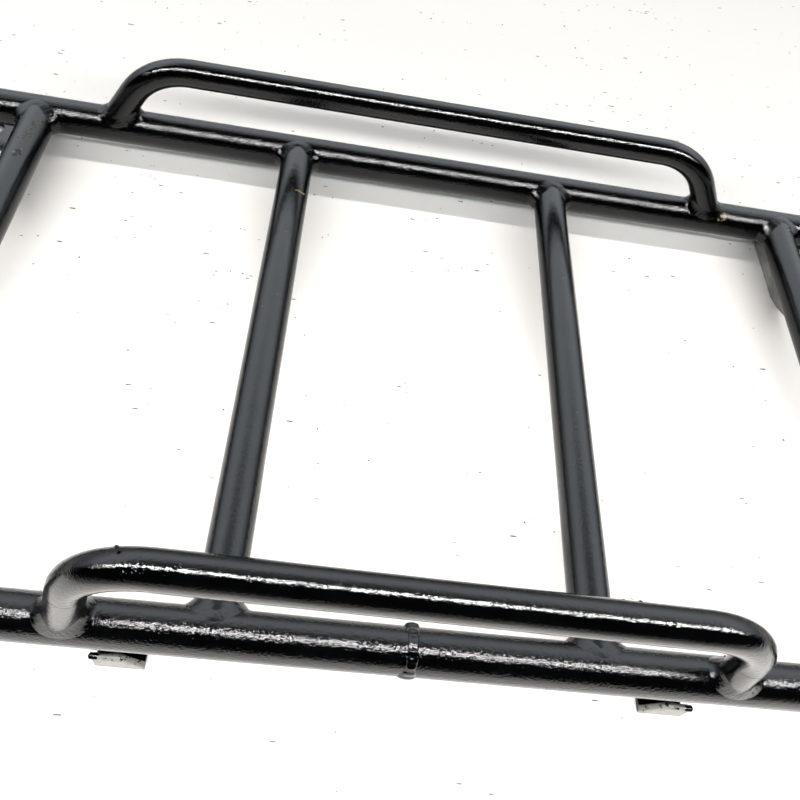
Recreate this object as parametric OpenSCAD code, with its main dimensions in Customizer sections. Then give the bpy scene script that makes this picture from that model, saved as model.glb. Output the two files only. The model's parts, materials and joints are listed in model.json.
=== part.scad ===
// Folding luggage platform: a welded steel tube rack on two hinged mounting brackets.
// X runs along the rails, +Y points to the hinge side, +Z is up.
// The origin is on the ground plane, in the middle of the rack's overall box.

/* [Platform] */
// Overall length along X
length = 700; // [660:1:800]
// Distance between the axes of the two long rails
rail_gap = 315; // [280:1:360]
// Outer diameter of the rails and end bows
rail_d = 21.3; // [20.5:0.1:22]
// Wall of the rails and end bows
rail_wall = 2.3; // [1.5:0.1:3]
// Bend radius of the four corners, at the tube's axis
corner_r = 60; // [40:1:62]
// Height of the tube axes above the ground
axis_h = 26.5; // [26:0.1:28]

/* [Crossbars] */
// Outer diameter of the crossbars
bar_d = 20; // [18:0.1:20.4]
// Wall of the crossbars
bar_wall = 2; // [1.5:0.1:3]
// Distance of the inner bars from the middle
inner_bar_x = 83; // [60:1:110]
// Distance of the outer bars from the middle
outer_bar_x = 243; // [240:1:246]

/* [Guard loops] */
// Outer diameter of both guard loops
guard_d = 16; // [12:0.1:18]
// Wall of both guard loops
guard_wall = 2; // [1:0.1:2.5]
// Half the distance between the far guard's feet
far_guard_foot = 198; // [170:1:215]
// Sideways shift of the far guard
far_guard_shift = -3; // [-8:1:8]
// Height of the far guard's axis above the rail's axis
far_guard_h = 44.5; // [40:0.5:60]
// Lean of the far guard's legs from upright
far_guard_lean = 33; // [10:1:38]
// Bend radius of the far guard
far_guard_r = 42; // [30:1:45]
// Half the distance between the near guard's feet
near_guard_foot = 145; // [120:1:180]
// Sideways shift of the near guard
near_guard_shift = 1; // [-8:1:8]
// Height of the near guard's axis above the rail's axis
near_guard_h = 60; // [50:0.5:70]
// Lean of the near guard's legs from upright
near_guard_lean = 12; // [5:1:30]
// Bend radius of the near guard
near_guard_r = 34; // [25:1:45]
// Fall of the near guard towards +X
near_guard_fall = 1.3; // [0:0.1:1.5]

/* [Hinges] */
// Distance of the pivots behind the far rail's axis
pivot_back = 18.5; // [18:0.1:20]
// Height of the pivots above the ground
pivot_h = 12.5; // [12.5:0.1:13.5]
// Radius of the round ears at the pivots
ear_r = 10; // [9.5:0.1:10.5]
// Thickness of the lugs welded under the outer bars
lug_t = 5; // [4:0.5:6]
// Thickness of the mounting brackets
bracket_t = 3.8; // [3:0.1:4]
// Width of each bracket's foot along X
bracket_foot_w = 44; // [38:1:50]
// Diameter of the hole for the fixing bolt
fixing_hole_d = 13; // [8:0.5:14]

/* [Hidden] */

// Facets of round tubes, of bends, of weld beads, of pins and holes, and of hexagons
tube_sides = 64;
bend_sides = 128;
bead_sides = 32;
pin_sides = 48;
hex_sides = 6;
$fn = tube_sides;
// Cutting shapes reach this far past what they cut
over = 1;

rail_r = rail_d / 2;
guard_r = guard_d / 2;
// Butt weld in the middle of the near rail: a ring of this size, sunk this far into the tube
bead_d = 3.8;
bead_sink = 0.7;
bead_rise = bead_d / 2 - bead_sink;
// The overall box runs from the butt weld's front to the brackets' back edges
bracket_back = pivot_back + 11;
depth = bead_rise + rail_r + rail_gap + bracket_back;
near_rail_y = bead_rise + rail_r - depth / 2;
far_rail_y = near_rail_y + rail_gap;
// The rails are straight up to here, and the end bows start here
straight_x = length / 2 - rail_r - corner_r;

// Bending thins the guards' bends a little, and the straight runs reach this far into them
bend_thinning = 0.1;
bend_overlap = 0.5;

// Foot clips: folded strips under the near rail
clip_x = 122;
clip_w = 21;
clip_t = 3;
clip_lip_h = 10.5;
clip_lip_slant = 8;
clip_front = -10;
clip_back = 1.5;
clip_wing = 6;
// The clip's web ends inside the rail's outline, and its wing starts under the rail
clip_web_top = axis_h - 4;
clip_wing_low = axis_h - rail_r - 2;

// Hinge lugs, given from the far rail's axis: the toe is the long taper under the outer bar
lug_x = outer_bar_x + 3;
lug_toe = [[-88, 17], [-54, 3.5], [-40, 0]];
lug_top = axis_h - 4.5;
lug_heel = 8;
lug_shoulder = 4;

// M8 pivot bolt through lug, inner washer, bracket, outer washer and nut
bolt_d = 8;
bolt_len = 20;
bolt_head_af = 13;
bolt_head_d = bolt_head_af / cos(180 / hex_sides);
bolt_head_h = 5.3;
nut_h = 6.5;
pivot_play = 0.1;
washer_od = 16;
inner_washer_t = 1;
outer_washer_t = 1.6;

inner_washer_x = lug_x + lug_t;
bracket_x = inner_washer_x + inner_washer_t + pivot_play;
outer_washer_x = bracket_x + bracket_t + pivot_play;
nut_x = outer_washer_x + outer_washer_t;

// Mounting brackets: an upright web and a flat foot, given from the far rail's axis
web_front = -35;
web_low_h = 9;
web_rise = 4;
web_shoulder = 4;
// The round ear runs on this many degrees below the pivot before the straight back edge
ear_turn = 20;
foot_front = -10.5;
hole_x = 280;
hole_back = 7;

// Stop pegs, which sit on the front of the bracket webs
peg_d = 7;
peg_len = 6;
peg_front = -29;

paint = [0.07, 0.075, 0.085];
zinc = [0.62, 0.63, 0.64];

// A straight tube from the origin along +X
module tube(d, wall, len) {
    rotate([0, 90, 0])
        difference() {
            cylinder(h = len, d = d);
            translate([0, 0, -over]) cylinder(h = len + 2 * over, d = d - 2 * wall);
        }
}

// A bent tube in the XY plane, around the origin, that starts on the +X axis
module bend(d, wall, radius, angle) {
    rotate_extrude(angle = angle, $fn = bend_sides)
        translate([radius, 0])
            difference() {
                circle(d = d, $fn = tube_sides);
                circle(d = d - 2 * wall, $fn = tube_sides);
            }
}

// The solid outside of one long rail, used to cope what is welded to it
module rail_core(y) {
    translate([-length / 2, y, axis_h]) rotate([0, 90, 0]) cylinder(h = length, d = rail_d);
}

module far_rail() {
    color(paint)
        translate([-straight_x, far_rail_y, axis_h])
            tube(rail_d, rail_wall, 2 * straight_x);
}

module near_rail_left() {
    color(paint)
        translate([-straight_x, near_rail_y, axis_h])
            tube(rail_d, rail_wall, straight_x);
}

module near_rail_right() {
    color(paint)
        translate([0, near_rail_y, axis_h])
            tube(rail_d, rail_wall, straight_x);
}

// The bow at +X: two corner bends and the end tube between them
module end_bow() {
    color(paint)
        union() {
            translate([straight_x, near_rail_y + corner_r, axis_h])
                rotate([0, 0, -90])
                    bend(rail_d, rail_wall, corner_r, 90);
            translate([straight_x + corner_r, near_rail_y + corner_r, axis_h])
                rotate([0, 0, 90])
                    tube(rail_d, rail_wall, rail_gap - 2 * corner_r);
            translate([straight_x, far_rail_y - corner_r, axis_h])
                bend(rail_d, rail_wall, corner_r, 90);
        }
}

module right_end_bow() {
    end_bow();
}

module left_end_bow() {
    mirror([1, 0, 0]) end_bow();
}

// A raised ring of weld metal around the near rail
module rail_butt_weld() {
    color(paint)
        difference() {
            translate([0, near_rail_y, axis_h])
                rotate([0, 90, 0])
                    rotate_extrude($fn = bend_sides)
                        translate([rail_r - bead_sink, 0]) circle(d = bead_d, $fn = bead_sides);
            rail_core(near_rail_y);
        }
}

// A crossbar at x, coped to both rails
module crossbar(x) {
    color(paint)
        difference() {
            translate([x, near_rail_y, axis_h])
                rotate([0, 0, 90])
                    tube(bar_d, bar_wall, rail_gap);
            rail_core(near_rail_y);
            rail_core(far_rail_y);
        }
}

module left_outer_bar() {
    crossbar(-outer_bar_x);
}

module left_inner_bar() {
    crossbar(-inner_bar_x);
}

module right_inner_bar() {
    crossbar(inner_bar_x);
}

module right_outer_bar() {
    crossbar(outer_bar_x);
}

// One side of a guard loop in the XY plane, with its foot on the +X axis
module guard_side(foot, height, lean, radius) {
    leg = height / cos(lean) - radius * tan((90 - lean) / 2);
    translate([foot, 0, 0])
        rotate([0, 0, 90 + lean])
            tube(guard_d, guard_wall, leg + bend_overlap);
    translate([foot - leg * sin(lean) - radius * cos(lean), height - radius, 0])
        rotate([0, 0, lean])
            bend(guard_d - bend_thinning, guard_wall, radius, 90 - lean);
}

// A whole guard loop in the XY plane
module guard(foot, height, lean, radius) {
    top_end = foot - height * tan(lean) - radius * tan((90 - lean) / 2) + bend_overlap;
    union() {
        guard_side(foot, height, lean, radius);
        mirror([1, 0, 0]) guard_side(foot, height, lean, radius);
        translate([-top_end, height, 0]) tube(guard_d, guard_wall, 2 * top_end);
    }
}

module far_guard_loop() {
    color(paint)
        difference() {
            translate([far_guard_shift, far_rail_y, axis_h])
                rotate([90, 0, 0])
                    guard(far_guard_foot, far_guard_h, far_guard_lean, far_guard_r);
            rail_core(far_rail_y);
        }
}

module near_guard_loop() {
    color(paint)
        difference() {
            translate([near_guard_shift, near_rail_y, axis_h])
                rotate([0, near_guard_fall, 0])
                    rotate([90, 0, 0])
                        guard(near_guard_foot, near_guard_h, near_guard_lean, near_guard_r);
            rail_core(near_rail_y);
        }
}

// A plate drawn in the XZ plane, from y towards -Y
module front_plate(y, thickness) {
    translate([0, y, 0])
        rotate([90, 0, 0])
            linear_extrude(thickness)
                children();
}

// The folded strip at +X: front lip with a slanted inner end, sole, and a back web that is wider at its top
module foot_clip() {
    color(paint)
        difference() {
            translate([clip_x - clip_w / 2, near_rail_y, 0])
                union() {
                    front_plate(clip_front + clip_t, clip_t)
                        polygon([
                            [0, 0], [clip_w, 0], [clip_w, clip_lip_h], [clip_lip_slant, clip_lip_h],
                            [0, clip_t]
                        ]);
                    translate([0, clip_front, 0]) cube([clip_w, clip_back - clip_front, clip_t]);
                    front_plate(clip_back, clip_t)
                        polygon([
                            [0, 0], [clip_w, 0], [clip_w, clip_web_top], [-clip_wing, clip_web_top],
                            [-clip_wing, clip_wing_low]
                        ]);
                }
            rail_core(near_rail_y);
        }
}

module right_foot_clip() {
    foot_clip();
}

module left_foot_clip() {
    mirror([1, 0, 0]) foot_clip();
}

// Moves a drawing in the XY plane into the YZ plane, from the far rail's axis on the ground
module side_plate(x, thickness) {
    translate([x, far_rail_y, 0])
        rotate([90, 0, 90])
            linear_extrude(thickness)
                children();
}

// A cylinder along X on the pivot axis
module pivot_cylinder(x, len, d, sides = pin_sides) {
    translate([x, far_rail_y + pivot_back, pivot_h])
        rotate([0, 90, 0])
            cylinder(h = len, d = d, $fn = sides);
}

// The lug at +X, coped to the outer bar above it and to the far rail
module hinge_lug() {
    color(paint)
        difference() {
            side_plate(lug_x, lug_t)
                union() {
                    polygon(concat(
                        lug_toe,
                        [[lug_heel, 0], [pivot_back, pivot_h - ear_r], [pivot_back, pivot_h + ear_r],
                         [pivot_back - lug_shoulder, lug_top], [lug_toe[0][0], lug_top]]
                    ));
                    translate([pivot_back, pivot_h]) circle(r = ear_r);
                }
            rail_core(far_rail_y);
            translate([outer_bar_x, near_rail_y, axis_h])
                rotate([-90, 0, 0])
                    cylinder(h = rail_gap, d = bar_d);
            pivot_cylinder(lug_x - over, lug_t + 2 * over, bolt_d + 2 * pivot_play);
        }
}

module right_hinge_lug() {
    hinge_lug();
}

module left_hinge_lug() {
    mirror([1, 0, 0]) hinge_lug();
}

// The bracket at +X: web with a round ear, and a foot with the fixing hole
module mount_bracket() {
    color(paint)
        difference() {
            union() {
                side_plate(bracket_x, bracket_t)
                    union() {
                        polygon([
                            [web_front + web_rise, 0], [bracket_back, 0], [bracket_back, bracket_t],
                            [pivot_back + ear_r * cos(ear_turn), pivot_h - ear_r * sin(ear_turn)],
                            [pivot_back, pivot_h + ear_r],
                            [pivot_back - ear_r, pivot_h],
                            [pivot_back - ear_r - web_shoulder, web_low_h],
                            [web_front, web_low_h], [web_front, web_rise]
                        ]);
                        translate([pivot_back, pivot_h]) circle(r = ear_r);
                    }
                translate([bracket_x, far_rail_y + foot_front, 0])
                    cube([bracket_t + bracket_foot_w, bracket_back - foot_front, bracket_t]);
            }
            pivot_cylinder(bracket_x - over, bracket_t + 2 * over, bolt_d + 2 * pivot_play);
            translate([hole_x, far_rail_y + hole_back, -over])
                cylinder(h = bracket_t + 2 * over, d = fixing_hole_d);
        }
}

module right_mount_bracket() {
    mount_bracket();
}

module left_mount_bracket() {
    mirror([1, 0, 0]) mount_bracket();
}

module stop_peg() {
    color(paint)
        translate([lug_x + lug_t, far_rail_y + peg_front, web_low_h + peg_d / 2 + pivot_play])
            rotate([0, 90, 0])
                cylinder(h = peg_len, d = peg_d, $fn = pin_sides);
}

module right_stop_peg() {
    stop_peg();
}

module left_stop_peg() {
    mirror([1, 0, 0]) stop_peg();
}

module pivot_bolt() {
    color(zinc)
        union() {
            pivot_cylinder(lug_x - bolt_head_h, bolt_head_h, bolt_head_d, hex_sides);
            pivot_cylinder(lug_x, bolt_len, bolt_d);
        }
}

module right_pivot_bolt() {
    pivot_bolt();
}

module left_pivot_bolt() {
    mirror([1, 0, 0]) pivot_bolt();
}

// A flat ring on the pivot bolt, with its inner face at x
module washer(x, thickness) {
    color(zinc)
        difference() {
            pivot_cylinder(x, thickness, washer_od);
            pivot_cylinder(x - over, thickness + 2 * over, bolt_d + 2 * pivot_play);
        }
}

module right_inner_washer() {
    washer(inner_washer_x, inner_washer_t);
}

module left_inner_washer() {
    mirror([1, 0, 0]) washer(inner_washer_x, inner_washer_t);
}

module right_outer_washer() {
    washer(outer_washer_x, outer_washer_t);
}

module left_outer_washer() {
    mirror([1, 0, 0]) washer(outer_washer_x, outer_washer_t);
}

module pivot_nut() {
    color(zinc)
        difference() {
            pivot_cylinder(nut_x, nut_h, bolt_head_d, hex_sides);
            pivot_cylinder(nut_x - over, nut_h + 2 * over, bolt_d);
        }
}

module right_pivot_nut() {
    pivot_nut();
}

module left_pivot_nut() {
    mirror([1, 0, 0]) pivot_nut();
}

far_rail();
near_rail_left();
near_rail_right();
left_end_bow();
right_end_bow();
rail_butt_weld();
left_outer_bar();
left_inner_bar();
right_inner_bar();
right_outer_bar();
far_guard_loop();
near_guard_loop();
left_foot_clip();
right_foot_clip();
left_hinge_lug();
right_hinge_lug();
left_stop_peg();
right_stop_peg();
left_pivot_bolt();
right_pivot_bolt();
left_inner_washer();
right_inner_washer();
left_outer_washer();
right_outer_washer();
left_pivot_nut();
right_pivot_nut();
left_mount_bracket();
right_mount_bracket();
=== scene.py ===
"""Looks for the folding luggage platform: glossy black paint over welded steel tube."""

import json
import math
import random

import bmesh
import bpy
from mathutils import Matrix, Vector, noise


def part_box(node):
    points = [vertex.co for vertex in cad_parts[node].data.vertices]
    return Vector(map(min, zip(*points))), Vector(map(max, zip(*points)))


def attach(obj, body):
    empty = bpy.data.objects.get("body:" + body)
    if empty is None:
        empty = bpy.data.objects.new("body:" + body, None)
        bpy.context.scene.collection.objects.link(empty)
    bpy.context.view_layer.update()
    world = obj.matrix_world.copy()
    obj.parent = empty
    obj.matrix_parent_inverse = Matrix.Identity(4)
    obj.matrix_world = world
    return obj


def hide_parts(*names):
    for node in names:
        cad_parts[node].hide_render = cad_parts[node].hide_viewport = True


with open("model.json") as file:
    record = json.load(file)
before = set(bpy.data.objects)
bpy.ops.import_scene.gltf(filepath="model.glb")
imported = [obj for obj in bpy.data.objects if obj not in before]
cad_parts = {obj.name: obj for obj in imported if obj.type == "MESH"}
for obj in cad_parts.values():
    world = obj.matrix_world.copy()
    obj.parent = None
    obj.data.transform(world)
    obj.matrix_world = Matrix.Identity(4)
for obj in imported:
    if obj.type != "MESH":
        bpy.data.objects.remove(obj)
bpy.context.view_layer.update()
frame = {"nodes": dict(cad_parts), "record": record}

MM = 0.001
X = Vector((1, 0, 0))
Y = Vector((0, 1, 0))

# ---------------------------------------------------------------- places taken from the frame


def middle(node):
    """The middle of a CAD node's box."""
    low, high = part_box(node)
    return (low + high) / 2


def size(node):
    """The size of a CAD node's box."""
    low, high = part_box(node)
    return high - low


RAIL_R = size("far_rail").z / 2
RAIL_Z = middle("far_rail").z
FAR_Y = middle("far_rail").y
NEAR_Y = middle("near_rail_left").y
BAR_R = size("left_inner_bar").x / 2
BARS = ["left_outer_bar", "left_inner_bar", "right_inner_bar", "right_outer_bar"]

# The guard loops as the CAD source has them: foot and shift in metres, lean and fall in degrees
GUARD_R = 8 * MM
GUARDS = {
    "far_guard": {"y": FAR_Y, "foot": 0.198, "shift": -0.003, "lean": 33, "fall": 0, "height": 0.0445},
    "near_guard": {"y": NEAR_Y, "foot": 0.145, "shift": 0.001, "lean": 12, "fall": 1.3, "height": 0.060},
}


class Tube:
    """A round tube by its middle, direction and radius, to place things on its surface."""

    def __init__(self, centre, along, radius):
        self.centre = Vector(centre)
        self.along = Vector(along).normalized()
        self.radius = radius
        self.side = -Y if abs(self.along.x) > 0.5 else X
        self.top = self.along.cross(self.side)
        if self.top.z < 0:
            self.top = -self.top

    def out(self, angle):
        """The direction out of the surface, with 0 degrees on top and 90 towards the front or +X."""
        a = math.radians(angle)
        return self.top * math.cos(a) + self.side * math.sin(a)

    def at(self, distance, angle, height=0.0):
        """A point on the surface by its distance along the tube and its angle, raised by height."""
        return self.centre + self.along * distance + self.out(angle) * (self.radius + height)

    def onto(self, point, height=0.0):
        """The nearest point of the surface to a point, raised by height."""
        distance = (point - self.centre).dot(self.along)
        foot = self.centre + self.along * distance
        return foot + (point - foot).normalized() * (self.radius + height)


def straight_tubes():
    """The straight tubes of the platform and guards, by name."""
    tubes = {
        "far_rail": Tube((0, FAR_Y, RAIL_Z), X, RAIL_R),
        "near_rail": Tube((0, NEAR_Y, RAIL_Z), X, RAIL_R),
    }
    for bar in BARS:
        tubes[bar] = Tube((middle(bar).x, 0, RAIL_Z), Y, BAR_R)
    for name, guard in GUARDS.items():
        fall = math.radians(guard["fall"])
        centre = (guard["shift"], guard["y"], RAIL_Z + guard["height"])
        tubes[name] = Tube(centre, (math.cos(fall), 0, -math.sin(fall)), GUARD_R)
    return tubes


TUBES = straight_tubes()

# ---------------------------------------------------------------- node helpers


def add_node(tree, kind, **settings):
    """A new node in a node tree, with its settings."""
    node = tree.nodes.new(kind)
    for key, value in settings.items():
        setattr(node, key, value)
    return node


class Tree:
    """A material's node tree with short calls to add and join nodes."""

    def __init__(self, name):
        self.material = bpy.data.materials.new(name)
        self.material.use_nodes = True
        self.tree = self.material.node_tree
        self.tree.nodes.clear()
        self.shader = self.add("ShaderNodeBsdfPrincipled")
        out = self.add("ShaderNodeOutputMaterial")
        self.join(self.shader.outputs["BSDF"], out.inputs["Surface"])
        self.place = self.add("ShaderNodeTexCoord").outputs["Object"]

    def add(self, kind, **settings):
        return add_node(self.tree, kind, **settings)

    def join(self, out, into):
        self.tree.links.new(out, into)

    def feed(self, socket, value):
        """Sets a socket to a number, or joins another node's output to it."""
        if isinstance(value, bpy.types.NodeSocket):
            self.join(value, socket)
        else:
            socket.default_value = value

    def math(self, operation, a, b=0.0):
        node = self.add("ShaderNodeMath", operation=operation, use_clamp=True)
        self.feed(node.inputs[0], a)
        self.feed(node.inputs[1], b)
        return node.outputs[0]

    def stretched(self, *factors):
        """The place on the object, scaled by one factor for each axis."""
        node = self.add("ShaderNodeVectorMath", operation="MULTIPLY")
        self.join(self.place, node.inputs[0])
        node.inputs[1].default_value = factors
        return node.outputs[0]

    def noise(self, scale, detail=2.0, rough=0.5, place=None):
        node = self.add("ShaderNodeTexNoise")
        self.join(place or self.place, node.inputs["Vector"])
        node.inputs["Scale"].default_value = scale
        node.inputs["Detail"].default_value = detail
        node.inputs["Roughness"].default_value = rough
        return node.outputs["Fac"]

    def cells(self, scale, place=None):
        """Scattered points: the distance to the nearest one, and a colour of its own."""
        node = self.add("ShaderNodeTexVoronoi")
        self.join(place or self.place, node.inputs["Vector"])
        node.inputs["Scale"].default_value = scale
        return node.outputs["Distance"], node.outputs["Color"]

    def ramp(self, value, low, high, at_low=0.0, at_high=1.0):
        """A smooth step from at_low, where value is low, to at_high, where it is high."""
        node = self.add("ShaderNodeMapRange", interpolation_type="SMOOTHSTEP")
        self.feed(node.inputs["Value"], value)
        node.inputs["From Min"].default_value = low
        node.inputs["From Max"].default_value = high
        node.inputs["To Min"].default_value = at_low
        node.inputs["To Max"].default_value = at_high
        return node.outputs["Result"]

    def blend(self, share, a, b):
        """Colour a where share is 0, and b where it is 1."""
        node = self.add("ShaderNodeMix", data_type="RGBA")
        self.feed(node.inputs["Factor"], share)
        for socket, colour in ((node.inputs[6], a), (node.inputs[7], b)):
            self.feed(socket, colour if isinstance(colour, bpy.types.NodeSocket) else (*colour, 1))
        return node.outputs[2]

    def bump(self, height, distance, before=None):
        node = self.add("ShaderNodeBump")
        self.feed(node.inputs["Height"], height)
        node.inputs["Distance"].default_value = distance
        if before is not None:
            self.join(before, node.inputs["Normal"])
        return node.outputs["Normal"]

    def set(self, **values):
        """Sets the shader's sockets by name, with _ for a space."""
        for key, value in values.items():
            self.feed(self.shader.inputs[key.replace("_", " ")], value)


# ---------------------------------------------------------------- materials

PAINT_DARK = (0.0018, 0.0020, 0.0025)
PAINT_LIGHT = (0.0040, 0.0044, 0.0052)
PAINT_ROUGHNESS = (0.07, 0.15)
PAINT_IOR = 1.6
# Grey of scuffs on worn edges, which on the clips' lips also stands in for a painted reflection of the
# floor
SCUFF_AND_REFLECTION_GREY = (0.17, 0.17, 0.165)
SCUFF_AND_REFLECTION_ROUGHNESS = 0.5
# How many to the metre and how deep the paint's peel and dust nibs are, where peel is 1
COARSE_PEEL = 180
COARSE_DEPTH = 0.12 * MM
FINE_PEEL = 780
FINE_DEPTH = 0.38 * MM
DUST_NIBS = 330
DUST_DEPTH = 0.05 * MM
# Greys of a painted reflection of the bright floor, on the hinge lugs' inner faces
LUG_FLOOR_REFLECTION_DARK = (0.16, 0.16, 0.158)
LUG_FLOOR_REFLECTION_LIGHT = (0.30, 0.30, 0.295)
# A higher index than real paint has, to strengthen the reflection of the bright floor on the lugs' inner
# faces
LUG_FLOOR_REFLECTION_IOR = 2.2


def black_paint(name, peel, wear_and_reflection=0.0):
    """Thick gloss black with orange peel and dust nibs. Wear shows grey scuffs, from 0 to 1. At full wear
    the grey also stands in for a painted reflection of the bright floor.
    """
    t = Tree(name)
    mottle = t.ramp(t.noise(60, 4, 0.6), 0.35, 0.7)
    colour = t.blend(mottle, PAINT_DARK, PAINT_LIGHT)
    rough = t.ramp(t.noise(220, 3, 0.6), 0.3, 0.75, *PAINT_ROUGHNESS)
    if wear_and_reflection > 0:
        grain = t.noise(420, 5, 0.7, t.stretched(1, 1, 2.2))
        scuff_and_reflection = t.ramp(grain, 0.62 - 0.24 * wear_and_reflection, 0.70 - 0.24 * wear_and_reflection)
        colour = t.blend(scuff_and_reflection, colour, SCUFF_AND_REFLECTION_GREY)
        rough = t.math("MAXIMUM", rough, t.math("MULTIPLY", scuff_and_reflection, SCUFF_AND_REFLECTION_ROUGHNESS))
    t.set(Base_Color=colour, Roughness=rough, IOR=PAINT_IOR)
    coarse = t.bump(t.noise(COARSE_PEEL, 2, 0.5), COARSE_DEPTH * peel)
    fine = t.bump(t.noise(FINE_PEEL, 2, 0.65), FINE_DEPTH * peel, coarse)
    distance, _ = t.cells(DUST_NIBS)
    nibs = t.ramp(distance, 0.10, 0.24, 1.0, 0.0)
    t.set(Normal=t.bump(nibs, DUST_DEPTH * peel, fine))
    return t.material


def metal(name, dark, light, rough_low, rough_high):
    """Plated metal with a fine grain and uneven shine."""
    t = Tree(name)
    t.set(
        Base_Color=t.blend(t.noise(500, 3), dark, light),
        Metallic=1.0,
        Roughness=t.ramp(t.noise(900, 2), 0.3, 0.7, rough_low, rough_high),
    )
    t.set(Normal=t.bump(t.noise(1500, 2), 0.02 * MM))
    return t.material


def matt(name, dark, light):
    """A dull chip or fleck in two close colours, also used for the pale teal painted glints."""
    t = Tree(name)
    t.set(
        Base_Color=t.blend(t.ramp(t.noise(900, 4, 0.7), 0.35, 0.65), dark, light),
        Roughness=t.ramp(t.noise(900, 2), 0.3, 0.7, 0.35, 0.6),
    )
    t.set(Normal=t.bump(t.noise(1800, 2), 0.08 * MM))
    return t.material


def painted_floor_reflection_paint():
    """Black paint with a grey painted reflection of the bright floor and a strong sheen, for the hinge
    lugs' inner faces.
    """
    t = Tree("black_paint_with_painted_floor_reflection")
    reflection_share = t.ramp(t.noise(70, 4, 0.6, t.stretched(1, 0.5, 1)), 0.3, 0.7)
    t.set(
        Base_Color=t.blend(reflection_share, LUG_FLOOR_REFLECTION_DARK, LUG_FLOOR_REFLECTION_LIGHT),
        Roughness=t.ramp(reflection_share, 0, 1, 0.12, 0.25),
        IOR=LUG_FLOOR_REFLECTION_IOR,
    )
    t.set(Normal=t.bump(t.noise(400, 2), 0.03 * MM))
    return t.material


BOARD_DARK = (0.93, 0.93, 0.925)
BOARD_LIGHT = (0.96, 0.96, 0.96)
MARK_GREY = (0.14, 0.13, 0.12)
# The floor's marks: how many in a metre, how much shorter they are in Y, their reach, and which are shown
FLOOR_MARKS = (
    (190, 1, 0.14, 0.84),
    (330, 1, 0.16, 0.86),
    (62, 4.5, 0.15, 0.80),
    (110, 4, 0.16, 0.84),
)


def white_floor():
    """White board with specks and short dark scuffs along X, in loose groups."""
    t = Tree("white_board")
    colour = t.blend(t.noise(3, 2), BOARD_DARK, BOARD_LIGHT)
    bare = t.ramp(t.noise(8, 3, 0.6), 0.40, 0.58, 0.07, 0.0)
    ragged = t.ramp(t.noise(520, 3, 0.6), 0.3, 0.7, 0.0, 0.08)
    for scale, squash, reach, shown in FLOOR_MARKS:
        distance, own = t.cells(scale, t.stretched(1, squash, 1))
        near = t.ramp(t.math("ADD", distance, ragged), reach, reach + 0.04, 1.0, 0.0)
        picked = t.math("GREATER_THAN", own, t.math("ADD", bare, shown))
        colour = t.blend(t.math("MULTIPLY", near, picked), colour, MARK_GREY)
    t.set(Base_Color=colour, Roughness=0.55)
    t.set(Normal=t.bump(t.noise(60, 2), 0.1 * MM))
    return t.material


FINISH = {
    "paint": black_paint("gloss_black_paint", peel=0.7),
    "smooth": black_paint("smooth_gloss_black_paint", peel=0.4),
    "weld": black_paint("gloss_black_weld", peel=0.6),
    "worn": black_paint("worn_black_edge", peel=0.5, wear_and_reflection=0.22),
    # Scuffs, with grey that also stands in for a painted reflection of the floor on the clips' lips
    "scuffs_and_painted_reflection": black_paint("scuffed_black_paint_and_painted_reflection", peel=0.5, wear_and_reflection=1.0),
    # Grey painted reflection of the floor, for the lugs' inner faces
    "painted_floor_reflection": painted_floor_reflection_paint(),
    "zinc": metal("zinc_plate", (0.45, 0.46, 0.47), (0.66, 0.66, 0.65), 0.28, 0.45),
    "tan": matt("tan_chip", (0.16, 0.10, 0.045), (0.42, 0.32, 0.18)),
    "smear": matt("dull_tan_smear", (0.006, 0.006, 0.005), (0.11, 0.095, 0.055)),
    "rust": matt("rust_chip", (0.11, 0.05, 0.02), (0.30, 0.16, 0.08)),
    # Pale teal painted glints
    "painted_glint": matt("pale_teal_painted_glint", (0.08, 0.16, 0.16), (0.50, 0.62, 0.60)),
}


def finish_cad_nodes():
    """Gives each CAD node its finish. The rails' paint is rougher than that on bars and guards."""
    for name, node in frame["nodes"].items():
        black = "smooth" if "bar" in name or "guard" in name else "paint"
        for place in node.material_slots:
            place.material = FINISH["zinc" if "zinc" in place.material.name else black]


finish_cad_nodes()

# ---------------------------------------------------------------- mesh helpers

# Edges turn sharp in the shading from this angle, in degrees
SHARP_EDGE = 42


def add_piece(name, bm, finishes, body="platform"):
    """Turns a bmesh into a smooth shaded piece that rides on a body."""
    bmesh.ops.recalc_face_normals(bm, faces=bm.faces)
    mesh = bpy.data.meshes.new(name)
    bm.to_mesh(mesh)
    bm.free()
    for finish in finishes:
        mesh.materials.append(FINISH[finish])
    mesh.polygons.foreach_set("use_smooth", [True] * len(mesh.polygons))
    mesh.set_sharp_from_angle(angle=math.radians(SHARP_EDGE))
    piece = bpy.data.objects.new(name, mesh)
    bpy.context.scene.collection.objects.link(piece)
    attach(piece, body)
    return piece


def loft(bm, rows, closed):
    """Joins rings of points into a skin. A closed loft meets its own start, and an open one is capped."""
    rings = [[bm.verts.new(p) for p in row] for row in rows]
    pairs = list(zip(rings, rings[1:]))
    if closed:
        pairs.append((rings[-1], rings[0]))
    for a, b in pairs:
        for i in range(len(a)):
            j = (i + 1) % len(a)
            bm.faces.new((a[i], a[j], b[j], b[i]))
    if not closed:
        bm.faces.new(rings[0])
        bm.faces.new(rings[-1])


def lump(place, scale, seed):
    """Smooth noise from -1 to 1 that differs from seed to seed."""
    return noise.noise(place * scale + Vector((seed * 7.3, seed * 1.7, 0)))


def nib_at(bm, centre, out, along, radius, rise):
    """A small uneven lump at a point."""
    made = bmesh.ops.create_icosphere(bm, subdivisions=2, radius=1)["verts"]
    side = out.cross(along)
    for v in made:
        p = v.co * (1 + 0.3 * noise.noise(v.co * 1.5 + centre * 900))
        v.co = centre + along * p.x * radius + side * p.y * radius + out * p.z * rise


# ---------------------------------------------------------------- welds

# The toes of a bead lie this far inside the tubes
SINK = 0.06 * MM
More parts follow.
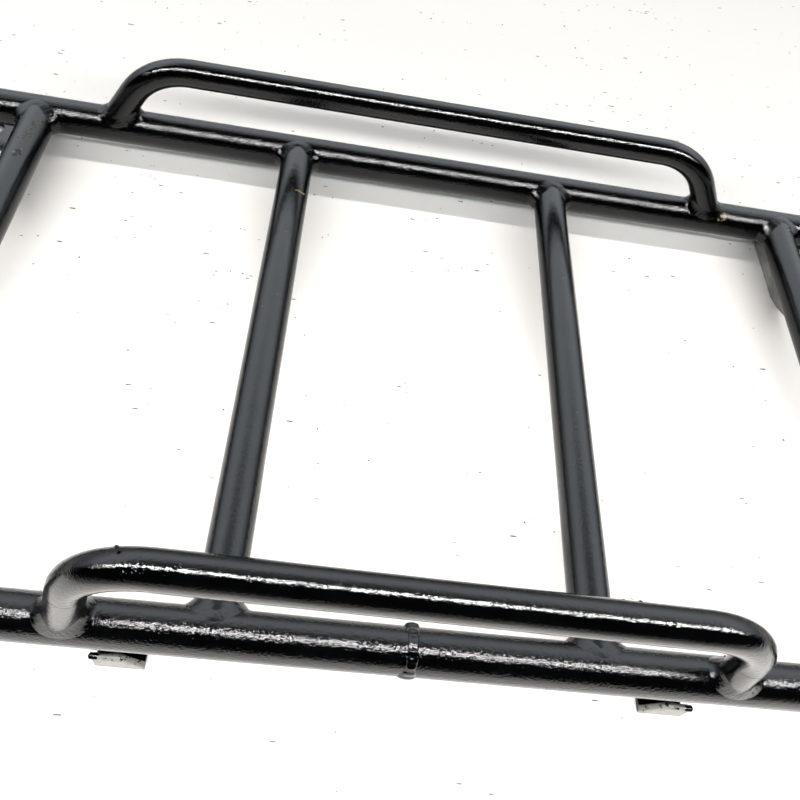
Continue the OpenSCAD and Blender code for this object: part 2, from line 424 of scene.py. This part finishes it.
# Steps across a bead, and round a tube at a joint and at the butt weld
BEAD_STEPS = 9
JOINT_STEPS = 240
BUTT_STEPS = 260
# How far one ripple of a bead is from the next, and how much each one bows
RIPPLE_PITCH = 1.9 * MM
RIPPLE_BOW = 0.45
# The root of a bead lies this far below the corner between the tubes
ROOT_DEPTH = 0.4 * MM
# Small drops of weld on each joint
JOINT_DROPS = 5
# Widths on the branch and on the rail, height and ripple of the beads
BAR_BEAD = ((4.4 * MM, 4.4 * MM), 0.32 * MM, 0.03 * MM)
GUARD_BEAD = ((4.8 * MM, 4.6 * MM), 0.36 * MM, 0.03 * MM)


def bead_ring(toes, corner, outs, root, height, ripple, phase):
    """One ring across a fillet bead: a hollow curve from toe to toe, and its root inside the metal."""
    ring = []
    for j in range(BEAD_STEPS + 1):
        u = j / BEAD_STEPS
        out = outs[0].lerp(outs[1], u).normalized()
        curve = toes[0] * (1 - u) ** 2 + corner * (2 * u * (1 - u)) + toes[1] * u**2
        crown = 4 * u * (1 - u)
        wave = math.cos(2 * math.pi * (phase + RIPPLE_BOW * (2 * u - 1) ** 2))
        ring.append(curve + out * (crown * (height + ripple * wave)))
    return ring + [root]


def branch_curve(branch, rail, steps):
    """The closed curve where a branch tube runs into a rail, as points."""
    side = branch.along.cross(X).normalized()
    across = side.cross(branch.along)
    points = []
    for i in range(steps):
        a = 2 * math.pi * i / steps
        start = branch.centre + (across * math.cos(a) + side * math.sin(a)) * branch.radius
        qy, qz = start.y - rail.centre.y, start.z - rail.centre.z
        dy, dz = branch.along.y, branch.along.z
        squares = dy * dy + dz * dz
        mixed = qy * dy + qz * dz
        root = mixed * mixed - squares * (qy * qy + qz * qz - rail.radius**2)
        points.append(start + branch.along * ((math.sqrt(root) - mixed) / squares))
    return points


def weld_row(point, run, travelled, branch, rail, bead, seed):
    """The ring of a joint's bead at one point of the curve where the branch and the rail meet."""
    legs, height, ripple = bead
    out_a = (point - branch.centre) - branch.along * (point - branch.centre).dot(branch.along)
    out_a.normalize()
    out_b = Vector((0, point.y - rail.centre.y, point.z - rail.centre.z)).normalized()
    up = run.cross(out_a)
    up *= math.copysign(1, up.dot(branch.along))
    off = run.cross(out_b)
    off *= math.copysign(1, off.dot(out_a))
    # The bead is narrow where the two tubes run nearly flush, on top and below
    flush = 0.6 + 0.4 * (1 - out_a.dot(out_b))
    spread = [flush * (1 + 0.18 * lump(point, 160, seed + k)) for k in (0, 1)]
    toe_a = branch.onto(point + up * legs[0] * spread[0], -SINK)
    toe_b = rail.onto(point + off * legs[1] * spread[1], -SINK)
    corner = point.lerp((toe_a + toe_b) / 2, 0.45)
    swell = 1 + 0.6 * lump(point, 300, seed + 2) + 0.2 * lump(point, 800, seed + 3)
    phase = travelled / RIPPLE_PITCH + 0.8 * lump(point, 150, seed + 4)
    root = point - (out_a + out_b).normalized() * ROOT_DEPTH
    return bead_ring((toe_a, toe_b), corner, (out_a, out_b), root, height * swell, ripple, phase)


def joint_weld(name, branch, rail, bead, seed):
    """A fillet bead all round a branch on a rail, with a few drops on it."""
    points = branch_curve(branch, rail, JOINT_STEPS)
    rows = []
    travelled = 0.0
    for i, point in enumerate(points):
        before = points[i - 1]
        after = points[(i + 1) % len(points)]
        travelled += (point - before).length
        run = (after - before).normalized()
        rows.append(weld_row(point, run, travelled, branch, rail, bead, seed))
    bm = bmesh.new()
    loft(bm, rows, closed=True)
    draw = random.Random(seed)
    for _ in range(JOINT_DROPS):
        ring = draw.choice(rows)
        spot = draw.choice(ring[:-1])
        out = Vector((0, spot.y - rail.centre.y, spot.z - rail.centre.z)).normalized()
        radius = draw.uniform(0.3, 0.7) * MM
        nib_at(bm, spot, out, X, radius, 0.6 * radius)
    add_piece(name, bm, ["weld"])


def guard_leg(guard, sign):
    """The straight leg at a guard's left (-1) or right (1) foot, as a tube that starts at the foot."""
    lean = math.radians(guard["lean"])
    fall = math.radians(guard["fall"])
    foot = Vector((sign * guard["foot"], 0, 0))
    along = Vector((-sign * math.sin(lean), 0, math.cos(lean)))
    turned = []
    for v in (foot, along):
        turned.append(Vector((
            v.x * math.cos(fall) + v.z * math.sin(fall),
            0,
            -v.x * math.sin(fall) + v.z * math.cos(fall),
        )))
    start = Vector((guard["shift"], guard["y"], RAIL_Z)) + turned[0]
    return Tube(start, turned[1], GUARD_R)


def all_joint_welds():
    """The beads at both ends of each bar and at both feet of each guard."""
    for number, bar in enumerate(BARS):
        for end, rail, sign in (("far", TUBES["far_rail"], 1), ("near", TUBES["near_rail"], -1)):
            branch = Tube((middle(bar).x, rail.centre.y, RAIL_Z), -Y * sign, BAR_R)
            joint_weld(f"weld_{bar}_{end}", branch, rail, BAR_BEAD, seed=10 * number + sign)
    for number, (name, guard) in enumerate(GUARDS.items()):
        rail = TUBES["far_rail" if name == "far_guard" else "near_rail"]
        for sign, end in ((-1, "left"), (1, "right")):
            leg = guard_leg(guard, sign)
            joint_weld(f"weld_{name}_{end}", leg, rail, GUARD_BEAD, seed=50 + 10 * number + sign)


# Where the butt weld's blob and run are, in degrees from the top towards the front
BLOB_ANGLE = 300
RUN_ANGLE = 92
BUTT_ROOT_DEPTH = 0.6 * MM
STEPS_IN_A_RIPPLE = 13


def butt_weld():
    """The ring of weld in the middle of the near rail, with a blob on top and a run below."""
    rail = TUBES["near_rail"]
    rows = []
    for i in range(BUTT_STEPS):
        angle = 360 * i / BUTT_STEPS
        place = rail.at(0, angle)
        blob = math.exp(-((angle - BLOB_ANGLE) / 13) ** 2)
        run = math.exp(-((angle - RUN_ANGLE) / 20) ** 2)
        half = (2.5 + 0.4 * lump(place, 260, 3) + 1.0 * blob + 1.5 * run) * MM
        shift = (0.25 * lump(place, 120, 4) - 0.9 * run) * MM
        wave = math.cos(2 * math.pi * i / STEPS_IN_A_RIPPLE)
        height = (0.75 + 0.14 * wave + 0.25 * lump(place, 300, 5) + 1.15 * blob + 0.25 * run) * MM
        ring = []
        for j in range(BEAD_STEPS + 1):
            u = j / BEAD_STEPS
            crown = math.sqrt(max(0.0, 1 - (2 * u - 1) ** 2))
            ring.append(rail.at(shift + half * (2 * u - 1), angle, crown * (height + SINK) - SINK))
        ring.append(rail.at(shift, angle, -BUTT_ROOT_DEPTH))
        rows.append(ring)
    bm = bmesh.new()
    loft(bm, rows, closed=True)
    piece = add_piece("rail_butt_weld_bead", bm, ["weld"])
    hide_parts("rail_butt_weld")


all_joint_welds()
butt_weld()

# ---------------------------------------------------------------- plates and fixings with worn edges

# The body of each CAD node
HOME = {node: body for body, nodes in frame["record"]["behaviour"]["bodies"].items() for node in nodes}
# Points closer than MERGE become one, and edges flatter than FLAT degrees go before the bevel
MERGE = 0.002 * MM
FLAT = 1
# Edges that turn more than this many degrees are rounded
CORNER = 30
# Rounding of the edges of each kind of part
CLIP_EDGE = 0.9 * MM
LUG_EDGE = 0.6 * MM
PEG_EDGE = 0.5 * MM
BOLT_EDGE = 0.35 * MM
WASHER_EDGE = 0.2 * MM
# Everything this close to a foot clip's front is its lip
LIP_THICKNESS = 3.2 * MM
ROLL_STEPS = 22
ROLL_SIDES = 16


def softened(node, width, finishes, chosen=None, roll=None):
    """The CAD solid of a plate or fixing again, with its sharp edges rounded and worn.
    The second finish goes on the edges and the third on the chosen faces. Roll adds more to the mesh."""
    bm = bmesh.new()
    bm.from_mesh(frame["nodes"][node].data)
    bmesh.ops.remove_doubles(bm, verts=bm.verts, dist=MERGE)
    bmesh.ops.dissolve_limit(bm, angle_limit=math.radians(FLAT), verts=bm.verts, edges=bm.edges)
    corner = math.radians(CORNER)
    sharp = [e for e in bm.edges if len(e.link_faces) == 2 and e.calc_face_angle() > corner]
    bmesh.ops.bevel(bm, geom=sharp, offset=width, segments=2, profile=0.6, affect="EDGES",
                    clamp_overlap=True, material=1)
    for face in bm.faces:
        if chosen and chosen(face):
            face.material_index = 2
    if roll:
        roll(bm)
    piece = add_piece(f"{node}_finished", bm, finishes, HOME[node])
    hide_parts(node)


def rolled_lip(sign):
    """Adds the rolled top edge of a foot clip's lip, which sticks out a little at the outer end. Its grey
    is scuffs and a painted reflection of the floor, and its outer end keeps the plain black paint.
    """
    low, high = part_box("right_foot_clip")
    outer = high.x + 1.8 * MM
    inner = low.x + 13.5 * MM
    front = low.y + 1.3 * MM
    level = 10.4 * MM
    dark_end = 4 * MM

    def add(bm):
        rows = []
        for i in range(ROLL_STEPS + 1):
            u = i / ROLL_STEPS
            end = max(0.0, 1 - abs(2 * u - 1) ** 10)
            radius = (1.5 + 0.3 * math.sin(7 * u)) * MM * math.sqrt(end) + 0.15 * MM
            x = sign * (inner + (outer - inner) * u)
            sway = 0.4 * MM * math.sin(5 * u + 1)
            ring = []
            for j in range(ROLL_SIDES):
                a = 2 * math.pi * j / ROLL_SIDES
                y = front + radius * math.cos(a)
                z = level + sway + 0.8 * radius * math.sin(a)
                ring.append(Vector((x, y, z)))
            rows.append(ring)
        before = set(bm.faces)
        loft(bm, rows, closed=False)
        # Grey scuffs and painted reflection along the roll, with plain black paint at its outer end
        for face in set(bm.faces) - before:
            scuffs_and_painted_reflection = face.calc_center_median().x * sign < outer - dark_end
            face.material_index = 2 if scuffs_and_painted_reflection else 0

    return add


def plates_and_fixings():
    """The clips, lugs, pegs, brackets, bolts, nuts and washers of both sides."""
    lip_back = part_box("left_foot_clip")[0].y + LIP_THICKNESS
    for side, sign in (("left", -1), ("right", 1)):
        # The clips' lips are grey: scuffs and a painted reflection of the bright floor
        softened(f"{side}_foot_clip", CLIP_EDGE, ["paint", "worn", "scuffs_and_painted_reflection"],
                 lambda face: face.calc_center_median().y < lip_back, rolled_lip(sign))
        # The lugs' inner faces carry a grey painted reflection of the bright floor
        softened(f"{side}_hinge_lug", LUG_EDGE, ["paint", "worn", "painted_floor_reflection"],
                 lambda face, inward=-sign: face.normal.x * inward > 0.9)
        for part in ("stop_peg", "mount_bracket"):
            softened(f"{side}_{part}", PEG_EDGE, ["paint", "worn"])
        for part in ("pivot_bolt", "pivot_nut"):
            softened(f"{side}_{part}", BOLT_EDGE, ["zinc", "zinc"])
        for part in ("inner_washer", "outer_washer"):
            softened(f"{side}_{part}", WASHER_EDGE, ["zinc", "zinc"])


plates_and_fixings()

# ---------------------------------------------------------------- chips, flecks and nibs

FLAKE_SIDES = 14
FLAKE_HEIGHT = 0.04 * MM
FLAKE_DEPTH = 0.1 * MM


def flake(bm, tube, distance, angle, length, width, turn, seed):
    """A thin ragged flake on a tube's surface. Turn is in degrees, 0 along the tube."""
    rim = []
    floor_rim = []
    for i in range(FLAKE_SIDES):
        a = 2 * math.pi * i / FLAKE_SIDES
        ragged = 1 + 0.45 * noise.noise(Vector((math.cos(a) * 1.7, math.sin(a) * 1.7, seed * 3.1)))
        u = length / 2 * math.cos(a) * ragged
        v = width / 2 * math.sin(a) * ragged
        t = math.radians(turn)
        du = u * math.cos(t) - v * math.sin(t)
        dv = u * math.sin(t) + v * math.cos(t)
        where = (distance + du, angle + math.degrees(dv / tube.radius))
        rim.append(bm.verts.new(tube.at(*where, FLAKE_HEIGHT)))
        floor_rim.append(bm.verts.new(tube.at(*where, -FLAKE_DEPTH)))
    top = bm.verts.new(tube.at(distance, angle, FLAKE_HEIGHT * 1.5))
    base = bm.verts.new(tube.at(distance, angle, -2 * FLAKE_DEPTH))
    for i in range(FLAKE_SIDES):
        j = (i + 1) % FLAKE_SIDES
        bm.faces.new((rim[i], rim[j], top))
        bm.faces.new((floor_rim[j], floor_rim[i], base))
        bm.faces.new((rim[j], rim[i], floor_rim[i], floor_rim[j]))


def nib(bm, tube, distance, angle, radius, rise):
    """A small lump, half sunk in a tube's surface."""
    nib_at(bm, tube.at(distance, angle, -0.2 * radius), tube.out(angle), tube.along, radius, rise)


# Patches of flakes. Each has its tube and how many, then the ranges of distance in mm, of angle in
# degrees with its spread, of length in mm and of turn in degrees.
TAN_CHIPS = (
    ("left_inner_bar", 7, (102.2, 104.0), (20, 62, 3), (1.6, 2.8), (20, 70)),
    ("right_outer_bar", 9, (135, 142), (10, 44, 2), (0.7, 1.4), (-40, 0)),
)
TAN_SMEAR = (
    ("left_outer_bar", 60, (110, 128), (10, 26, 8), (0.6, 2.0), (-20, 40)),
)
# Pale teal flecks are painted glints: a speckled highlight on the near guard, and glints at the blister
# rims on the left outer bar
PAINTED_GLINT_FLECKS = (
    ("near_guard", 34, (-112, -92), (34, 8, 6), (0.2, 0.55), (20, 70)),
    ("left_outer_bar", 9, (97.5, 102.0), (6, 22, 4), (0.3, 0.9), (0, 180)),
)
RUST_FLECKS = (
    ("left_inner_bar", 8, (-120, 100), (-50, 50, 20), (0.3, 0.8), (0, 180)),
    ("right_inner_bar", 8, (-120, 100), (-50, 50, 20), (0.3, 0.8), (0, 180)),
)
# Dust nibs and blisters in the paint: tube, distance in mm, angle in degrees and radius in mm
PAINT_NIBS = (
    ("near_guard", -116, -34, 0.9),
    ("near_guard", 77.6, -62, 0.9),
    ("near_guard", 71, -66, 0.6),
    ("left_outer_bar", 100, 13, 1.6),
    ("left_outer_bar", 96, 10, 1.1),
    ("left_outer_bar", 98, 22, 0.9),
    ("right_inner_bar", 93.6, -25, 0.6),
    ("right_inner_bar", 79.5, -3, 0.5),
)
# Weld spatter near each end of a bar and along each rail: how many drops, place in mm, radius in mm and
# angle in degrees. The place is measured from the rail on a bar, and from the middle on a rail.
BAR_SPATTER = 5
BAR_SPATTER_PLACE = (16, 32)
BAR_SPATTER_RADIUS = (0.25, 0.6)
BAR_SPATTER_ANGLE = (-110, 110)
RAIL_SPATTER = 24
RAIL_SPATTER_PLACE = (-260, 260)
RAIL_SPATTER_RADIUS = (0.2, 0.5)
RAIL_SPATTER_ANGLE = (-100, 100)
# Brassy bits at the far guard's right foot: how many, place from the foot in mm, angle in degrees,
# radius in mm, and height
FOOT_CHIPS = 9
FOOT_CHIP_PLACE = (3.0, 7.5)
FOOT_CHIP_ANGLE = (28, 62)
FOOT_CHIP_RADIUS = (0.4, 1.0)
FOOT_CHIP_RISE = 1.1 * MM
CHIP_SEED = 3
FLECK_SEED = 5
SPATTER_SEED = 11


def scatter(name, finish, draw, patches):
    """A piece made of small flakes, spread over patches of the tubes."""
    bm = bmesh.new()
    for tube, count, distance, angle, length, turn in patches:
        for i in range(count):
            along = draw.uniform(0, 1)
            where = (distance[0] + (distance[1] - distance[0]) * along) * MM
            about = angle[0] + (angle[1] - angle[0]) * along + draw.gauss(0, angle[2])
            reach = draw.uniform(*length) * MM
            flake(bm, TUBES[tube], where, about, reach, 0.45 * reach, draw.uniform(*turn), i)
    add_piece(name, bm, [finish])


def foot_chips(draw):
    """Brassy bits on the far rail, beside the right foot of the far guard."""
    bm = bmesh.new()
    foot_x = GUARDS["far_guard"]["shift"] + GUARDS["far_guard"]["foot"]
    for _ in range(FOOT_CHIPS):
        where = foot_x + draw.uniform(*FOOT_CHIP_PLACE) * MM
        angle = draw.uniform(*FOOT_CHIP_ANGLE)
        radius = draw.uniform(*FOOT_CHIP_RADIUS) * MM
        nib(bm, TUBES["far_rail"], where, angle, radius, FOOT_CHIP_RISE)
    add_piece("brassy_chips", bm, ["tan"])


def nibs():
    """Nibs and blisters under the paint, and fine weld spatter near the joints and along the rails."""
    bm = bmesh.new()
    for tube, distance, angle, radius in PAINT_NIBS:
        nib(bm, TUBES[tube], distance * MM, angle, radius * MM, radius * 0.7 * MM)
    draw = random.Random(SPATTER_SEED)
    for name in BARS:
        for end, rail_y in ((1, FAR_Y), (-1, NEAR_Y)):
            for _ in range(BAR_SPATTER):
                back = draw.uniform(*BAR_SPATTER_PLACE) * MM
                radius = draw.uniform(*BAR_SPATTER_RADIUS) * MM
                angle = draw.uniform(*BAR_SPATTER_ANGLE)
                nib(bm, TUBES[name], rail_y - end * back, angle, radius, radius * 0.7)
    for rail in ("far_rail", "near_rail"):
        for _ in range(RAIL_SPATTER):
            radius = draw.uniform(*RAIL_SPATTER_RADIUS) * MM
            where = draw.uniform(*RAIL_SPATTER_PLACE) * MM
            angle = draw.uniform(*RAIL_SPATTER_ANGLE)
            nib(bm, TUBES[rail], where, angle, radius, radius * 0.6)
    add_piece("weld_spatter", bm, ["weld"])


def chips_and_flecks():
    """The tan, brassy and rust marks on the paint, and pale teal flecks that are painted glints."""
    draw = random.Random(CHIP_SEED)
    scatter("tan_chips", "tan", draw, TAN_CHIPS)
    scatter("tan_smear", "smear", draw, TAN_SMEAR)
    foot_chips(draw)
    draw = random.Random(FLECK_SEED)
    scatter("painted_glint_flecks", "painted_glint", draw, PAINTED_GLINT_FLECKS)
    scatter("rust_flecks", "rust", draw, RUST_FLECKS)


chips_and_flecks()
nibs()

# ---------------------------------------------------------------- floor, light and camera

FLOOR_SIZE = 1.6
FLOOR_SQUARES = 8


def floor():
    """The white board that the platform stands on."""
    bm = bmesh.new()
    bmesh.ops.create_grid(bm, x_segments=FLOOR_SQUARES, y_segments=FLOOR_SQUARES, size=FLOOR_SIZE)
    mesh = bpy.data.meshes.new("floor")
    bm.to_mesh(mesh)
    bm.free()
    mesh.materials.append(white_floor())
    piece = bpy.data.objects.new("floor", mesh)
    bpy.context.scene.collection.objects.link(piece)


WARM = (1.0, 0.97, 0.93)
WHITE = (1, 1, 1)


def area_lamp(name, centre, width, depth, radiance, tilt=0, gloss=False):
    """A soft warm lamp for the floor and dull surfaces, or a white one that only shows in the gloss.
    Tilt is in degrees, towards the far side."""
    data = bpy.data.lights.new(name, "AREA")
    data.color = WHITE if gloss else WARM
    data.shape = "RECTANGLE"
    data.size = width
    data.size_y = depth
    data.energy = radiance * math.pi * width * depth
    lamp = bpy.data.objects.new(name, data)
    lamp.location = centre
    lamp.rotation_euler = (math.radians(tilt), 0, 0)
    lamp.visible_camera = False
    lamp.visible_glossy = gloss
    lamp.visible_diffuse = not gloss
    bpy.context.scene.collection.objects.link(lamp)


# How bright the far wall shows in the gloss, by the height of the direction, as a share of its peak
WALL_LIGHT = [(0.0, 0.25), (0.2, 0.45), (0.5, 0.95), (0.8, 1.0), (0.92, 0.4), (1.0, 0.3)]
WALL_PEAK = 2.0
WALL_TONE = (0.90, 0.96, 1.0, 1)
# The wall fades in between directions with these Y
WALL_EDGE = (-0.05, 0.12)
# The light that dull surfaces get from all round, and the backdrop that the camera sees
ROOM_LIGHT = 0.04
BACKDROP_LIGHT = 1.0


def wall_glow(tree):
    """The strength of the far wall in every direction."""
    parts = add_node(tree, "ShaderNodeSeparateXYZ")
    tree.links.new(add_node(tree, "ShaderNodeTexCoord").outputs["Generated"], parts.inputs[0])
    height = add_node(tree, "ShaderNodeValToRGB")
    tree.links.new(parts.outputs["Z"], height.inputs["Fac"])
    steps = height.color_ramp.elements
    while len(steps) < len(WALL_LIGHT):
        steps.new(0.5)
    for step, (at, strength) in zip(steps, WALL_LIGHT):
        step.position = at
        step.color = (strength, strength, strength, 1)
    far_side = add_node(tree, "ShaderNodeMapRange", interpolation_type="SMOOTHSTEP")
    tree.links.new(parts.outputs["Y"], far_side.inputs["Value"])
    far_side.inputs["From Min"].default_value = WALL_EDGE[0]
    far_side.inputs["From Max"].default_value = WALL_EDGE[1]
    far_side.inputs["To Max"].default_value = WALL_PEAK
    wall = add_node(tree, "ShaderNodeMath", operation="MULTIPLY")
    tree.links.new(height.outputs["Color"], wall.inputs[0])
    tree.links.new(far_side.outputs["Result"], wall.inputs[1])
    return wall.outputs[0]


def world_light():
    """A room for reflections, bright on the far side and dark behind the camera, and a white backdrop."""
    world = bpy.data.worlds.new("studio")
    world.use_nodes = True
    bpy.context.scene.world = world
    tree = world.node_tree
    background = tree.nodes["Background"]
    background.inputs["Color"].default_value = WALL_TONE
    glow = wall_glow(tree)
    rays = add_node(tree, "ShaderNodeLightPath")
    lit = add_node(tree, "ShaderNodeMix", data_type="FLOAT")
    tree.links.new(rays.outputs["Is Glossy Ray"], lit.inputs["Factor"])
    lit.inputs[2].default_value = ROOM_LIGHT
    tree.links.new(glow, lit.inputs[3])
    seen = add_node(tree, "ShaderNodeMix", data_type="FLOAT")
    tree.links.new(rays.outputs["Is Camera Ray"], seen.inputs["Factor"])
    tree.links.new(lit.outputs[0], seen.inputs[2])
    seen.inputs[3].default_value = BACKDROP_LIGHT
    tree.links.new(seen.outputs[0], background.inputs["Strength"])


# Sensor and lens in mm, place and clipping in metres, and turn in degrees
SENSOR_WIDTH = 36
LENS = 36.12
EYE = (-0.05375, -0.27748, 0.36494)
EYE_TURN = (34.998, -9.097, 2.350)
CLIP_START = 0.01
CLIP_END = 50


def camera():
    """The camera in front of the near rail, a little to the left, which looks down and away."""
    data = bpy.data.cameras.new("camera")
    data.sensor_width = SENSOR_WIDTH
    data.lens = LENS
    data.clip_start = CLIP_START
    data.clip_end = CLIP_END
    eye = bpy.data.objects.new("camera", data)
    eye.location = EYE
    eye.rotation_euler = [math.radians(a) for a in EYE_TURN]
    bpy.context.scene.collection.objects.link(eye)
    bpy.context.scene.camera = eye


floor()
area_lamp("strip", (0, -0.315, 0.875), width=3.0, depth=0.05, radiance=60, tilt=15, gloss=True)
area_lamp("overhead", (0, -0.20, 2.5), width=8.0, depth=0.20, radiance=9.4)
area_lamp("front_strip", (0, -2.35, 2.5), width=8.0, depth=0.35, radiance=12.0, tilt=44)
area_lamp("middle_fill", (0, -0.09, 0.14), width=1.2, depth=0.05, radiance=3.4)
area_lamp("near_fill", (0, -0.31, 0.11), width=1.2, depth=0.05, radiance=8.5, tilt=35)
world_light()
camera()
bpy.context.scene.view_settings.view_transform = "Standard"
bpy.context.scene.view_settings.look = "High Contrast"
